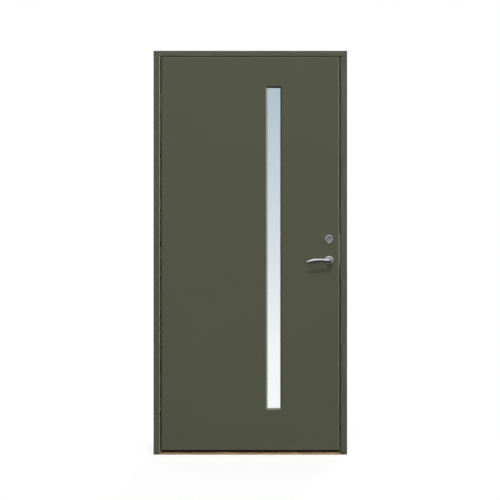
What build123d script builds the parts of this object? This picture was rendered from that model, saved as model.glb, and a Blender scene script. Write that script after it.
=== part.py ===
from build123d import *
from math import cos, radians, sin
import os

# A flush, outward-opening front door in its frame, hung on the left seen from outside.
# Millimetres. X runs along the width, Y from outside to inside with zero at mid leaf, Z up from the floor.

# Frame
FRAME_WIDTH = 990
FRAME_HEIGHT = 2065
FRAME_DEPTH = 105
JAMB_FACE = 34
HEAD_FACE = 28
SIDE_GAP = 6
TOP_GAP = 3
LEAF_LIFT = 22
STOP_LAP = 10
SEAL_GAP = 4
FRAME_ARRIS = 3
HEAD_ARRIS = 1.5
JOINT_ARRIS = 1.2
OUTER_ARRIS = 1.5
STOP_ARRIS = 2

# Threshold
SILL_NOSE = 10.5
SILL_STEP = 15
SILL_STOP = 35
SILL_ROUND = 3

# Seal in the stops
BULB_WIDTH = 7
STEM_WIDTH = 3
STEM_DEPTH = 6
BULB_ROUND = 1.4
SEAL_CLEAR = 0.3

# Wall fixing holes through both jambs
FIXING_RADIUS = 7
FIXING_SET_IN = 51
FIXING_FOOT = 120
FIXING_HEAD = 125
FIXING_INNER_PITCH = 780

# Leaf
LEAF_THICK = 62
SKIN = 9
LEAF_ARRIS = 3
INNER_ARRIS = 2.5
HINGE_STILE = 60
LOCK_STILE = 115
TOP_RAIL = 80
BOTTOM_RAIL = 120
STUD = 32

# Sweep under the leaf
SWEEP_INSET = 11
SWEEP_THICK = 6
SWEEP_SHORT = 5
SWEEP_STEM = 3
SWEEP_STEM_DEPTH = 6
SWEEP_ROUND = 1.2
SWEEP_CLEAR = 1

# Window and its sealed unit
WINDOW_OFFSET = 121
WINDOW_WIDTH = 82
WINDOW_ABOVE = 207
WINDOW_BELOW = 150
BEVEL = 8.5
SIGHT_ROUND = 1.5
EDGE_COVER = 20
BEAD_BACK = 8
UNIT_CLEAR = 4
PANE = 4
CAVITY = 12
SPACER_WIDTH = 8
SPACER_INSET = 3
GLAZING_SEAL = 3
SEAL_INSET = 1
BEAD_CHAMFER = 3
BLOCK_LENGTH = 30
BLOCK_PITCH = 46

# Concealed hinges
PIN_SET_BACK = 15
PIN_DEPTH = 12.5
PIN_RADIUS = 4
KNUCKLE_RADIUS = 6.5
RUNNING_CLEAR = 0.05
ARM_RADIUS = 16
ARM_THICK = 7
ARM_START_DEG = 120
ARM_HEIGHT = 70
ARM_PLAY = 0.5
LUG_HEIGHT = 14
LUG_DEPTH = 30.5
BRACKET_WALL = 3.5
EAR_HEIGHT = 26
EAR_THICK = 3
EAR_WIDTH = 22
HINGE_PLATE_WIDTH = 32
HINGE_PLATE_HEIGHT = 110
HINGE_PLATE_THICK = 4
HINGE_INSET = 220
HINGE_SCREW_RISE = 46
HINGE_SCREW_SPREAD = 9

# Lock
BACKSET = 52
LEVER_HEIGHT = 991
CYLINDER_RISE = 105
CASE_DEPTH = 84
CASE_THICK = 15
CASE_WALL = 1.5
CASE_BELOW = 50
CASE_ABOVE = 155
CASE_CLEAR = 0.25
FOREND_THICK = 3
FOREND_WIDTH = 22
FOREND_OVER = 15
FOREND_ROUND = 3
BOLT_THICK = 12
BOLT_CLEAR = 0.35
LATCH_HEIGHT = 20
LATCH_LENGTH = 25
LATCH_LAND = 3
LATCH_SLOPE = 10
LATCH_THROW = 12
LATCH_TAIL_HALF = 14
DEADBOLT_HEIGHT = 24
DEADBOLT_LENGTH = 38
DEADBOLT_THROW = 20
DEADBOLT_TAIL_HALF = 11
TAIL_RIM = 2
TAIL_NEAR = 2.5
TAIL_THICK = 3
HUB_HALF = 5.5
FOLLOWER_RADIUS = 10
FOLLOWER_JOURNAL = 8
NOSE_REACH = 15
NOSE_WIDTH = 6
NOSE_LAYER = 6
HUB_CLEAR = 0.5
SPINDLE_SIDE = 8
SPINDLE_HALF = 64
CAM_RADIUS = 8
CAM_JOURNAL = 6.5
TURN_BAR_WIDTH = 8
TURN_BAR_THICK = 3
SLIP_CLEAR = 0.1

# Lever and rose
ROSE_RADIUS = 25
ROSE_THICK = 8
ROSE_ROUND = 5.5
ROSE_HOLLOW_RADIUS = 22
ROSE_HOLLOW = 5
COLLAR_RADIUS = 14
COLLAR_RISE = 5
COLLAR_ROUND = 2
NECK_RADIUS = 10
NECK_START = 1
GRIP_STANDOFF = 50
ELBOW_RADIUS = 14
SPINDLE_HOLE_RADIUS = 12
ROSE_BOLT_PITCH = 38
ROSE_BOLT_RADIUS = 2
ROSE_BOLT_HEAD_RADIUS = 2.8
ROSE_BOLT_HEAD = 3
LEVER_REACH = 118.6
GRIP_HEIGHT = 22.4
GRIP_DEPTH = 16.4
# Grip sections from the elbow to the tip, as shares of the reach, of the height (rise and height) and
# of the depth
GRIP_SHARES = (
    (0.22, 0.08, 0.83, 1),
    (0.39, 0.12, 0.795, 0.855),
    (0.565, 0.055, 0.94, 0.83),
    (0.735, -0.0625, 1, 0.79),
    (0.87, -0.195, 0.82, 0.71),
    (0.953, -0.268, 0.57, 0.54),
    (1, -0.295, 0.23, 0.244),
)

# Cylinder and thumb turn
RING_TOP_RADIUS = 20.5
RING_FOOT_RADIUS = 12.5
RING_LOBE = 6.5
RING_WALL = 6
RING_THICK = 9
RING_ROUND = 3.5
RING_INNER_ROUND = 2.4
HOUSING_SUNK = 3
HOUSING_CLEAR = 0.5
PLUG_RADIUS = 6.5
PLUG_PROUD = 0.5
PLUG_LENGTH = 25
BAR_IN_PLUG = 4
KEYWAY_WIDTH = 1.6
KEYWAY_HEIGHT = 9
KEYWAY_DEPTH = 10
KEYWAY_TILT = 45
TURN_SHAFT_RADIUS = 8
TURN_NECK = 5
TURN_GRIP = 17
TURN_GRIP_LENGTH = 34
TURN_GRIP_THICK = 11
TURN_GRIP_ROUND = 2.5
BAR_IN_TURN = 12
TURN_HOLE_RADIUS = 11

# Strike plate in the lock jamb
STRIKE_THICK = 3
STRIKE_WIDTH = 24
STRIKE_OVER = 46
STRIKE_ROUND = 3
STRIKE_ROOM = 3
STRIKE_POCKET = 18

# Latch guard on the lock edge
GUARD_HEIGHT = 161
GUARD_BELOW = 24
GUARD_THICK = 3.5
GUARD_WIDTH = 16
GUARD_SET_BACK = 2
GUARD_ROUND = 2.8

# Screws: shank radius, head radius, length
FRAME_SCREW = (2.5, 5, 95)
HINGE_SCREW = (2.2, 4.2, 28)
EDGE_SCREW = (1.8, 3.4, 22)
GUARD_SCREW = (1.5, 2.8, 20)
DRIVE_SHARE = 0.36
DRIVE_DEPTH_SHARE = 0.7
FRAME_SCREW_INSET = 28
SILL_SCREW_PITCH = 16
EDGE_SCREW_INSET = 8
GUARD_SCREW_INSET = 18

# One overrun for cutting tools, and the slack for picking edges by place
OVERRUN = 2
SNAP = 0.01

# Levels that follow from the sizes
HALF_FRAME = FRAME_WIDTH / 2
JAMB_EDGE = HALF_FRAME - JAMB_FACE
LEAF_EDGE = JAMB_EDGE - SIDE_GAP
STOP_EDGE = LEAF_EDGE - STOP_LAP
FRONT = -LEAF_THICK / 2
REAR = LEAF_THICK / 2
FRAME_REAR = FRONT + FRAME_DEPTH
STOP_FRONT = REAR + SEAL_GAP
HEAD_UNDER = FRAME_HEIGHT - HEAD_FACE
LEAF_TOP = HEAD_UNDER - TOP_GAP
HEAD_STOP = LEAF_TOP - STOP_LAP
LEAF_MID = (LEAF_LIFT + LEAF_TOP) / 2
FIXING_ENDS = (FIXING_FOOT, FRAME_HEIGHT - FIXING_HEAD)
FIXING_MID = sum(FIXING_ENDS) / 2
CORE_FRONT = FRONT + SKIN
CORE_REAR = REAR - SKIN
WINDOW_FOOT = LEAF_LIFT + WINDOW_ABOVE
WINDOW_HEAD = LEAF_TOP - WINDOW_BELOW
WINDOW_MID = (WINDOW_FOOT + WINDOW_HEAD) / 2
SIGHT_WIDTH = WINDOW_WIDTH - 2 * BEVEL
SIGHT_HEIGHT = WINDOW_HEAD - WINDOW_FOOT - 2 * BEVEL
PANE_WIDTH = SIGHT_WIDTH + 2 * EDGE_COVER
PANE_HEIGHT = SIGHT_HEIGHT + 2 * EDGE_COVER
POCKET_WIDTH = PANE_WIDTH + 2 * UNIT_CLEAR
POCKET_HEIGHT = PANE_HEIGHT + 2 * UNIT_CLEAR
POCKET_FOOT = WINDOW_MID - POCKET_HEIGHT / 2
POCKET_HEAD = WINDOW_MID + POCKET_HEIGHT / 2
UNIT_FRONT = CORE_FRONT + GLAZING_SEAL
UNIT_REAR = UNIT_FRONT + 3 * PANE + 2 * CAVITY
BEAD_FRONT = UNIT_REAR + GLAZING_SEAL
PIN_X = -JAMB_EDGE - PIN_SET_BACK
PIN_Y = FRONT + PIN_DEPTH
LOCK_X = LEAF_EDGE - BACKSET
CYLINDER_HEIGHT = LEVER_HEIGHT + CYLINDER_RISE
CASE_RIGHT = LEAF_EDGE - FOREND_THICK
CASE_LEFT = CASE_RIGHT - CASE_DEPTH
CASE_FOOT = LEVER_HEIGHT - CASE_BELOW
CASE_HEAD = LEVER_HEIGHT + CASE_ABOVE
HINGE_HEIGHTS = {
    "bottom": LEAF_LIFT + HINGE_INSET,
    "middle": LEAF_MID,
    "top": LEAF_TOP - HINGE_INSET,
}


def block(xs, ys, zs):
    """A box between two limits on each axis."""
    sizes = [hi - lo for lo, hi in (xs, ys, zs)]
    middle = [(lo + hi) / 2 for lo, hi in (xs, ys, zs)]
    return Pos(*middle) * Box(*sizes)


def about(middle, width):
    """Limits a width apart, evenly about a middle."""
    return (middle - width / 2, middle + width / 2)


def rod_x(radius, xs, y, z):
    return Pos(sum(xs) / 2, y, z) * Rot(0, 90, 0) * Cylinder(radius, xs[1] - xs[0])


def rod_y(radius, ys, x, z):
    return Pos(x, sum(ys) / 2, z) * Rot(90, 0, 0) * Cylinder(radius, ys[1] - ys[0])


def rod_z(radius, zs, x, y):
    return Pos(x, y, sum(zs) / 2) * Cylinder(radius, zs[1] - zs[0])


def edges_at(part, axis, **places):
    """Edges along an axis whose middle lies at the given places."""
    found = part.edges().filter_by(axis)
    for name, place in places.items():
        found = found.filter_by(lambda e: abs(getattr(e.center(), name.upper()) - place) < SNAP)
    return found


def screw(size):
    """A countersunk screw with a hexagonal drive, head up at zero."""
    shank, head, length = size
    sink = head - shank
    body = Pos(0, 0, -sink / 2) * Cone(shank, head, sink)
    body += Pos(0, 0, -(sink + length) / 2) * Cylinder(shank, length - sink)
    drive = extrude(RegularPolygon(head * DRIVE_SHARE, 6), -head * DRIVE_DEPTH_SHARE)
    return body, body - drive


def drive_screws(size, places, turn, *hosts):
    """Screws at the given places, and the hosts with their holes cut."""
    hole, piece = screw(size)
    hosts = list(hosts)
    for place in places:
        seat = Pos(*place) * turn
        hosts = [host - seat * hole for host in hosts]
    return Compound([seat_of * piece for seat_of in [Pos(*p) * turn for p in places]]), hosts


HEAD_UP = Rot(0, 0, 0)
HEAD_RIGHT = Rot(0, 90, 0)
HEAD_LEFT = Rot(0, -90, 0)


# Seal ring round the four stops, a bulb towards the leaf and a stem in the groove
SEAL_LINE_X = LEAF_EDGE - STOP_LAP / 2
SEAL_LINE_LOW = (LEAF_LIFT + SILL_STOP) / 2
SEAL_LINE_HIGH = LEAF_TOP - STOP_LAP / 2


def ring(half_x, zs, width, ys, middle_x=0):
    """A rectangular ring in the XZ plane, of one width about its centre line."""
    grow = width / 2
    outer = block(
        (middle_x - half_x - grow, middle_x + half_x + grow), ys, (zs[0] - grow, zs[1] + grow)
    )
    inner = block(
        (middle_x - half_x + grow, middle_x + half_x - grow),
        (ys[0] - OVERRUN, ys[1] + OVERRUN),
        (zs[0] + grow, zs[1] - grow),
    )
    return outer - inner


def seal_ring():
    seal_zs = (SEAL_LINE_LOW, SEAL_LINE_HIGH)
    bulb = ring(SEAL_LINE_X, seal_zs, BULB_WIDTH, (REAR + SEAL_CLEAR, STOP_FRONT))
    near = bulb.faces().sort_by(Axis.Y)[0]
    bulb = fillet(near.edges(), BULB_ROUND)
    stem = ring(SEAL_LINE_X, seal_zs, STEM_WIDTH, (STOP_FRONT, STOP_FRONT + STEM_DEPTH))
    return bulb + stem, stem


frame_seal, seal_groove = seal_ring()


# Head of the frame, a board running over both jambs
def head_piece():
    head = block((-HALF_FRAME, HALF_FRAME), (FRONT, FRAME_REAR), (HEAD_UNDER, FRAME_HEIGHT))
    head = fillet(edges_at(head, Axis.X, y=FRONT, z=FRAME_HEIGHT), OUTER_ARRIS)
    span = (-JAMB_EDGE, JAMB_EDGE)
    corner = block(span, (FRONT, FRONT + HEAD_ARRIS), (HEAD_UNDER, HEAD_UNDER + HEAD_ARRIS))
    corner -= rod_x(HEAD_ARRIS, span, FRONT + HEAD_ARRIS, HEAD_UNDER + HEAD_ARRIS)
    return head - corner


# Jamb on the right; the left one is its mirror image before the fittings are let in
def jamb_piece():
    jamb = block((JAMB_EDGE, HALF_FRAME), (FRONT, FRAME_REAR), (0, HEAD_UNDER))
    jamb = chamfer(edges_at(jamb, Axis.X, y=FRONT, z=HEAD_UNDER), JOINT_ARRIS)
    jamb = fillet(edges_at(jamb, Axis.Z, x=JAMB_EDGE, y=FRONT), FRAME_ARRIS)
    jamb = fillet(edges_at(jamb, Axis.Z, x=HALF_FRAME, y=FRONT), OUTER_ARRIS)
    through = (JAMB_EDGE - OVERRUN, HALF_FRAME + OVERRUN)
    for z in (*FIXING_ENDS, *about(FIXING_MID, FIXING_INNER_PITCH)):
        jamb -= rod_x(FIXING_RADIUS, through, FRONT + FIXING_SET_IN, z)
    return jamb


# Stops planted on the jambs and under the head, grooved for the seal
def stop_strips():
    ys = (STOP_FRONT, FRAME_REAR)
    side = block((STOP_EDGE, JAMB_EDGE), ys, (SILL_STOP, HEAD_UNDER))
    side = fillet(edges_at(side, Axis.Z, x=STOP_EDGE, y=FRAME_REAR), STOP_ARRIS)
    top = block((-STOP_EDGE, STOP_EDGE), ys, (HEAD_STOP, HEAD_UNDER))
    top = fillet(edges_at(top, Axis.X, y=FRAME_REAR, z=HEAD_STOP), STOP_ARRIS)
    strips = [mirror(side, about=Plane.YZ), side, top]
    return Compound([(strip - seal_groove).solid() for strip in strips])


# Oak threshold between the jambs, sloping up to the stop behind the leaf
def threshold_piece():
    outline = Polyline(
        (FRONT, 0),
        (FRAME_REAR, 0),
        (FRAME_REAR, SILL_STOP),
        (STOP_FRONT, SILL_STOP),
        (STOP_FRONT, SILL_STEP),
        (FRONT, SILL_NOSE),
        close=True,
    )
    section = Plane.YZ * make_face(outline)
    sill = extrude(section, JAMB_EDGE, both=True)
    sill = fillet(edges_at(sill, Axis.X, y=FRONT, z=SILL_NOSE), SILL_ROUND)
    return sill - seal_groove


frame_head = head_piece()
lock_jamb = jamb_piece()
hinge_jamb = mirror(jamb_piece(), about=Plane.YZ)
threshold = threshold_piece()
door_stops = stop_strips()

# Corner screws: down through the head, and in through the jambs into the threshold
SCREW_X = HALF_FRAME - JAMB_FACE / 2
SCREW_YS = (FRONT + FRAME_SCREW_INSET, FRAME_REAR - FRAME_SCREW_INSET)
SILL_YS = about((STOP_FRONT + FRAME_REAR) / 2, SILL_SCREW_PITCH)
head_places = [(x, y, FRAME_HEIGHT) for x in (-SCREW_X, SCREW_X) for y in SCREW_YS]
head_screws, hosts = drive_screws(
    FRAME_SCREW, head_places, HEAD_UP, frame_head, hinge_jamb, lock_jamb
)
frame_head, hinge_jamb, lock_jamb = hosts
left_places = [(-HALF_FRAME, y, SILL_STOP / 2) for y in SILL_YS]
left_screws, hosts = drive_screws(FRAME_SCREW, left_places, HEAD_LEFT, hinge_jamb, threshold)
hinge_jamb, threshold = hosts
right_places = [(HALF_FRAME, y, SILL_STOP / 2) for y in SILL_YS]
right_screws, hosts = drive_screws(FRAME_SCREW, right_places, HEAD_RIGHT, lock_jamb, threshold)
lock_jamb, threshold = hosts
frame_screws = Compound(head_screws.solids() + left_screws.solids() + right_screws.solids())


# Leaf: face boards over a timber skeleton
def face_board(outside):
    ys = (FRONT, CORE_FRONT) if outside else (CORE_REAR, REAR)
    face = FRONT if outside else REAR
    board = block((-LEAF_EDGE, LEAF_EDGE), ys, (LEAF_LIFT, LEAF_TOP))
    rim = edges_at(board, Axis.X, y=face) + edges_at(board, Axis.Z, y=face)
    return fillet(rim, LEAF_ARRIS if outside else INNER_ARRIS)


def window_prism(width, height, ys, corner=0):
    sheet = RectangleRounded(width, height, corner) if corner else Rectangle(width, height)
    middle = Pos(WINDOW_OFFSET, ys[0], WINDOW_MID) * Rot(90, 0, 0) * sheet
    return extrude(middle, ys[1] - ys[0], dir=(0, 1, 0))


def egg(grow, ys):
    """The outline round the cylinder: a large arc over a smaller one, with straight flanks."""
    outline = Pos(0, RING_LOBE) * Circle(RING_TOP_RADIUS + grow)
    outline += Pos(0, -RING_LOBE) * Circle(RING_FOOT_RADIUS + grow)
    outline = make_hull(outline.edges())
    placed = Pos(LOCK_X, ys[0], CYLINDER_HEIGHT) * Rot(90, 0, 0) * outline
    return extrude(placed, ys[1] - ys[0], dir=(0, 1, 0))


outer_skin = face_board(True)
SKIN_CUT = (FRONT - OVERRUN, CORE_FRONT + OVERRUN)
outer_skin -= window_prism(SIGHT_WIDTH, SIGHT_HEIGHT, SKIN_CUT, SIGHT_ROUND)
window_rim = outer_skin.faces().sort_by(Axis.Y)[0].inner_wires()[0]
outer_skin = chamfer(window_rim.edges(), BEVEL)
inner_skin = face_board(False)
inner_skin -= window_prism(POCKET_WIDTH, POCKET_HEIGHT, (CORE_REAR - OVERRUN, REAR + OVERRUN))

CORE = (CORE_FRONT, CORE_REAR)
STILE_IN = -LEAF_EDGE + HINGE_STILE
LOCK_IN = LEAF_EDGE - LOCK_STILE
RAIL_LOW = LEAF_LIFT + BOTTOM_RAIL
RAIL_HIGH = LEAF_TOP - TOP_RAIL
POCKET_X = about(WINDOW_OFFSET, POCKET_WIDTH)
STUD_LEFT = POCKET_X[0] - STUD
STUD_RIGHT = POCKET_X[1] + STUD
hinge_stile = block((-LEAF_EDGE, STILE_IN), CORE, (LEAF_LIFT, LEAF_TOP))
lock_stile = block((LOCK_IN, LEAF_EDGE), CORE, (LEAF_LIFT, LEAF_TOP))
top_rail = block((STILE_IN, LOCK_IN), CORE, (RAIL_HIGH, LEAF_TOP))
bottom_rail = block((STILE_IN, LOCK_IN), CORE, (LEAF_LIFT, RAIL_LOW))
window_stud_left = block((STUD_LEFT, POCKET_X[0]), CORE, (RAIL_LOW, RAIL_HIGH))
window_stud_right = block((POCKET_X[1], STUD_RIGHT), CORE, (RAIL_LOW, RAIL_HIGH))
window_head_block = block(POCKET_X, CORE, (POCKET_HEAD, RAIL_HIGH))
window_sill_block = block(POCKET_X, CORE, (RAIL_LOW, POCKET_FOOT))
insulation_wide = block((STILE_IN, STUD_LEFT), CORE, (RAIL_LOW, RAIL_HIGH))
insulation_narrow = block((STUD_RIGHT, LOCK_IN), CORE, (RAIL_LOW, RAIL_HIGH))


# Rubber sweep along the leaf's lower edge, its stem in a groove, just clear of the sloping threshold
def sweep_strip():
    ys = (FRONT + SWEEP_INSET, FRONT + SWEEP_INSET + SWEEP_THICK)
    slope = (SILL_STEP - SILL_NOSE) / (STOP_FRONT - FRONT)
    foot = SILL_NOSE + slope * (ys[1] - FRONT) + SWEEP_CLEAR
    span = (-LEAF_EDGE + SWEEP_SHORT, LEAF_EDGE - SWEEP_SHORT)
    lip = block(span, ys, (foot, LEAF_LIFT))
    lip = fillet(edges_at(lip, Axis.X, z=foot), SWEEP_ROUND)
    stem_ys = about(sum(ys) / 2, SWEEP_STEM)
    stem_zs = (LEAF_LIFT, LEAF_LIFT + SWEEP_STEM_DEPTH)
    groove = block((-LEAF_EDGE - OVERRUN, LEAF_EDGE + OVERRUN), stem_ys, stem_zs)
    return lip + block(span, stem_ys, stem_zs), groove


bottom_sweep, sweep_groove = sweep_strip()
hinge_stile -= sweep_groove
lock_stile -= sweep_groove
bottom_rail -= sweep_groove


# Sealed unit: three panes on two spacer frames, between two seals, held by beads inside
def pane(order):
    front = UNIT_FRONT + order * (PANE + CAVITY)
    return window_prism(PANE_WIDTH, PANE_HEIGHT, (front, front + PANE))


def window_ring(width, height, rim, ys):
    hole = window_prism(width - 2 * rim, height - 2 * rim, (ys[0] - OVERRUN, ys[1] + OVERRUN))
    return window_prism(width, height, ys) - hole


outer_pane = pane(0)
middle_pane = pane(1)
inner_pane = pane(2)
spacer_fronts = [UNIT_FRONT + PANE, UNIT_FRONT + 2 * PANE + CAVITY]
spacer_size = (PANE_WIDTH - 2 * SPACER_INSET, PANE_HEIGHT - 2 * SPACER_INSET)
glass_spacers = Compound(
    [window_ring(*spacer_size, SPACER_WIDTH, (y, y + CAVITY)).solid() for y in spacer_fronts]
)
SEAL_RIM = EDGE_COVER - SEAL_INSET
seal_rims = {CORE_FRONT: SEAL_RIM, UNIT_REAR: SEAL_RIM - BEAD_BACK}
glazing_seals = Compound(
    [
        window_ring(PANE_WIDTH, PANE_HEIGHT, rim, (y, y + GLAZING_SEAL)).solid()
        for y, rim in seal_rims.items()
    ]
)
BEAD = (BEAD_FRONT, REAR)
INSIDE_X = about(WINDOW_OFFSET, SIGHT_WIDTH + 2 * BEAD_BACK)
INSIDE_Z = about(WINDOW_MID, SIGHT_HEIGHT + 2 * BEAD_BACK)


def bead(xs, zs, axis, **edge):
    strip = block(xs, BEAD, zs)
    return chamfer(edges_at(strip, axis, y=REAR, **edge), BEAD_CHAMFER).solid()


side_beads = Compound(
    [
        bead((POCKET_X[0], INSIDE_X[0]), (POCKET_FOOT, POCKET_HEAD), Axis.Z, x=INSIDE_X[0]),
        bead((INSIDE_X[1], POCKET_X[1]), (POCKET_FOOT, POCKET_HEAD), Axis.Z, x=INSIDE_X[1]),
    ]
)
end_beads = Compound(
    [
        bead(INSIDE_X, (POCKET_FOOT, INSIDE_Z[0]), Axis.X, z=INSIDE_Z[0]),
        bead(INSIDE_X, (INSIDE_Z[1], POCKET_HEAD), Axis.X, z=INSIDE_Z[1]),
    ]
)
BLOCK_Z = (POCKET_FOOT, POCKET_FOOT + UNIT_CLEAR)
setting_blocks = Compound(
    [
        block(about(x, BLOCK_LENGTH), (UNIT_FRONT, UNIT_REAR), BLOCK_Z).solid()
        for x in about(WINDOW_OFFSET, BLOCK_PITCH)
    ]
)


# Concealed hinge: a bracket let into the jamb, a pin, and a swan-neck arm on the leaf's edge
ARM_TURN_DEG = ARM_START_DEG - 90
ARM_CENTRE = (ARM_RADIUS * cos(radians(ARM_TURN_DEG)), ARM_RADIUS * sin(radians(ARM_TURN_DEG)))
ARM_END_Y = ARM_CENTRE[1] + ARM_RADIUS
PLATE_MID_Y = PIN_Y + ARM_END_Y
ARM_REAR = PLATE_MID_Y + ARM_THICK / 2
BRACKET_BACK = PIN_X - KNUCKLE_RADIUS - 2 * ARM_PLAY - BRACKET_WALL
BRACKET_FRONT_Y = PIN_Y - KNUCKLE_RADIUS
LUG_FAR = ARM_HEIGHT / 2 + ARM_PLAY + LUG_HEIGHT


def hinge_arm(z):
    curve = CenterArc(ARM_CENTRE, ARM_RADIUS, 90, ARM_START_DEG)
    outline = SlotArc(curve, ARM_THICK) + Circle(KNUCKLE_RADIUS)
    straight = -LEAF_EDGE - PIN_X - ARM_CENTRE[0]
    outline += Pos(ARM_CENTRE[0] + straight / 2, ARM_END_Y) * Rectangle(straight, ARM_THICK)
    arm = extrude(Pos(PIN_X, PIN_Y, z - ARM_HEIGHT / 2) * outline, ARM_HEIGHT, dir=(0, 0, 1))
    arm -= rod_z(PIN_RADIUS + RUNNING_CLEAR, about(z, ARM_HEIGHT + OVERRUN), PIN_X, PIN_Y)
    plate = hinge_plate(z)
    return arm + plate, plate


def hinge_plate(z):
    return block(
        (-LEAF_EDGE, -LEAF_EDGE + HINGE_PLATE_THICK),
        about(PLATE_MID_Y, HINGE_PLATE_WIDTH),
        about(z, HINGE_PLATE_HEIGHT),
    )


def hinge_bracket(z):
    lug_ys = (BRACKET_FRONT_Y, BRACKET_FRONT_Y + LUG_DEPTH)
    bracket = block((BRACKET_BACK, BRACKET_BACK + BRACKET_WALL), lug_ys, about(z, 2 * LUG_FAR))
    ear_xs = (-JAMB_EDGE - EAR_THICK, -JAMB_EDGE)
    ear_ys = (lug_ys[1] - EAR_WIDTH, lug_ys[1])
    ears = []
    for side in (-1, 1):
        lug_zs = sorted((z + side * LUG_FAR, z + side * (LUG_FAR - LUG_HEIGHT)))
        bracket += block((BRACKET_BACK, -JAMB_EDGE), lug_ys, lug_zs)
        ear_zs = sorted((z + side * LUG_FAR, z + side * (LUG_FAR + EAR_HEIGHT)))
        ears.append(block(ear_xs, ear_ys, ear_zs))
    for ear in ears:
        bracket += ear
    bracket -= rod_z(PIN_RADIUS, about(z, 2 * LUG_FAR + OVERRUN), PIN_X, PIN_Y)
    places = [
        (-JAMB_EDGE, sum(ear_ys) / 2, z + side * (LUG_FAR + EAR_HEIGHT / 2)) for side in (-1, 1)
    ]
    return bracket, ears, places


def hinge_pocket(z):
    """Room for the bracket and for the arm over its whole turn, behind a lip at the jamb's face."""
    return block(
        (BRACKET_BACK, -JAMB_EDGE + OVERRUN),
        (BRACKET_FRONT_Y - ARM_PLAY, max(ARM_REAR, BRACKET_FRONT_Y + LUG_DEPTH) + ARM_PLAY),
        about(z, 2 * LUG_FAR),
    )


hinge_arms = {}
hinge_brackets = {}
bracket_places = []
plate_places = []
pins = []
for level, z in HINGE_HEIGHTS.items():
    hinge_arms[level], plate = hinge_arm(z)
    hinge_stile -= plate
    hinge_brackets[level], ears, places = hinge_bracket(z)
    bracket_places += places
    hinge_jamb -= hinge_pocket(z)
    for ear in ears:
        hinge_jamb -= ear
    pins.append(rod_z(PIN_RADIUS, about(z, 2 * LUG_FAR), PIN_X, PIN_Y).solid())
    plate_places += [
        (-LEAF_EDGE, PLATE_MID_Y + across, z + rise)
        for across in (-HINGE_SCREW_SPREAD, HINGE_SCREW_SPREAD)
        for rise in (-HINGE_SCREW_RISE, HINGE_SCREW_RISE)
    ]
hinge_pins = Compound(pins)
levels = list(HINGE_HEIGHTS)
bracket_screws, hosts = drive_screws(
    HINGE_SCREW, bracket_places, HEAD_RIGHT, hinge_jamb, *[hinge_brackets[n] for n in levels]
)
hinge_jamb = hosts[0]
hinge_brackets = dict(zip(levels, hosts[1:]))
plate_screws, hosts = drive_screws(
    HINGE_SCREW, plate_places, HEAD_LEFT, hinge_stile, *[hinge_arms[n] for n in levels]
)
hinge_stile = hosts[0]
hinge_arms = dict(zip(levels, hosts[1:]))


# Mortise lock: a folded case and its cover behind the forend, with latch, deadbolt and two hubs
CASE_Y = (-CASE_THICK / 2, CASE_THICK / 2)
CASE_Z = (CASE_FOOT, CASE_HEAD)
COVER_FRONT = CASE_Y[1] - CASE_WALL
LATCH_Z = about(LEVER_HEIGHT, LATCH_HEIGHT)
DEADBOLT_Z = about(CYLINDER_HEIGHT, DEADBOLT_HEIGHT)
BOLT_Y = (-BOLT_THICK / 2, BOLT_THICK / 2)
TAIL_Y = (TAIL_NEAR, TAIL_NEAR + TAIL_THICK)


def widen(limits, room):
    return (limits[0] - room, limits[1] + room)


def bolt_holes(xs, room):
    latch_hole = block(xs, widen(BOLT_Y, room), widen(LATCH_Z, room))
    return latch_hole + block(xs, widen(BOLT_Y, room), widen(DEADBOLT_Z, room))


def forend_piece():
    forend = block((CASE_RIGHT, LEAF_EDGE), about(0, FOREND_WIDTH), widen(CASE_Z, FOREND_OVER))
    return fillet(forend.edges().filter_by(Axis.X), FOREND_ROUND)


rose_bolt_zs = about(LEVER_HEIGHT, ROSE_BOLT_PITCH)


def hub_holes(ys):
    """Holes through the case for the follower, the turn cam and the rose bolts."""
    cut = rod_y(FOLLOWER_JOURNAL + RUNNING_CLEAR, ys, LOCK_X, LEVER_HEIGHT)
    cut += rod_y(CAM_JOURNAL + RUNNING_CLEAR, ys, LOCK_X, CYLINDER_HEIGHT)
    for z in rose_bolt_zs:
        cut += rod_y(ROSE_BOLT_RADIUS + SLIP_CLEAR, ys, LOCK_X, z)
    return cut


def case_piece():
    case = block((CASE_LEFT, CASE_RIGHT), (CASE_Y[0], COVER_FRONT), CASE_Z)
    case -= block(
        (CASE_LEFT + CASE_WALL, CASE_RIGHT - CASE_WALL),
        (CASE_Y[0] + CASE_WALL, CASE_Y[1]),
        widen(CASE_Z, -CASE_WALL),
    )
    case -= bolt_holes((CASE_RIGHT - CASE_WALL - OVERRUN, CASE_RIGHT + OVERRUN), BOLT_CLEAR)
    return case - hub_holes(widen(CASE_Y, OVERRUN))


lock_forend = forend_piece()
lock_stile -= lock_forend
lock_forend -= bolt_holes((CASE_RIGHT - OVERRUN, LEAF_EDGE + OVERRUN), BOLT_CLEAR)
lock_case = case_piece()
lock_cover = block((CASE_LEFT, CASE_RIGHT), (COVER_FRONT, CASE_Y[1]), CASE_Z)
lock_cover -= hub_holes(widen(CASE_Y, OVERRUN))
lock_stile -= block(
    (CASE_LEFT - CASE_CLEAR, CASE_RIGHT), widen(CASE_Y, CASE_CLEAR), widen(CASE_Z, CASE_CLEAR)
)


def bolt_tail(reach, hub, throw, half, z):
    """A flat tail with a slot that lets the bolt run past its hub."""
    slot = (LOCK_X - hub - HUB_CLEAR - throw, LOCK_X + hub + HUB_CLEAR)
    tail = block((slot[0] - TAIL_RIM, reach), TAIL_Y, about(z, 2 * half))
    return tail - block(slot, widen(TAIL_Y, OVERRUN), about(z, 2 * (hub + HUB_CLEAR)))


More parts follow.
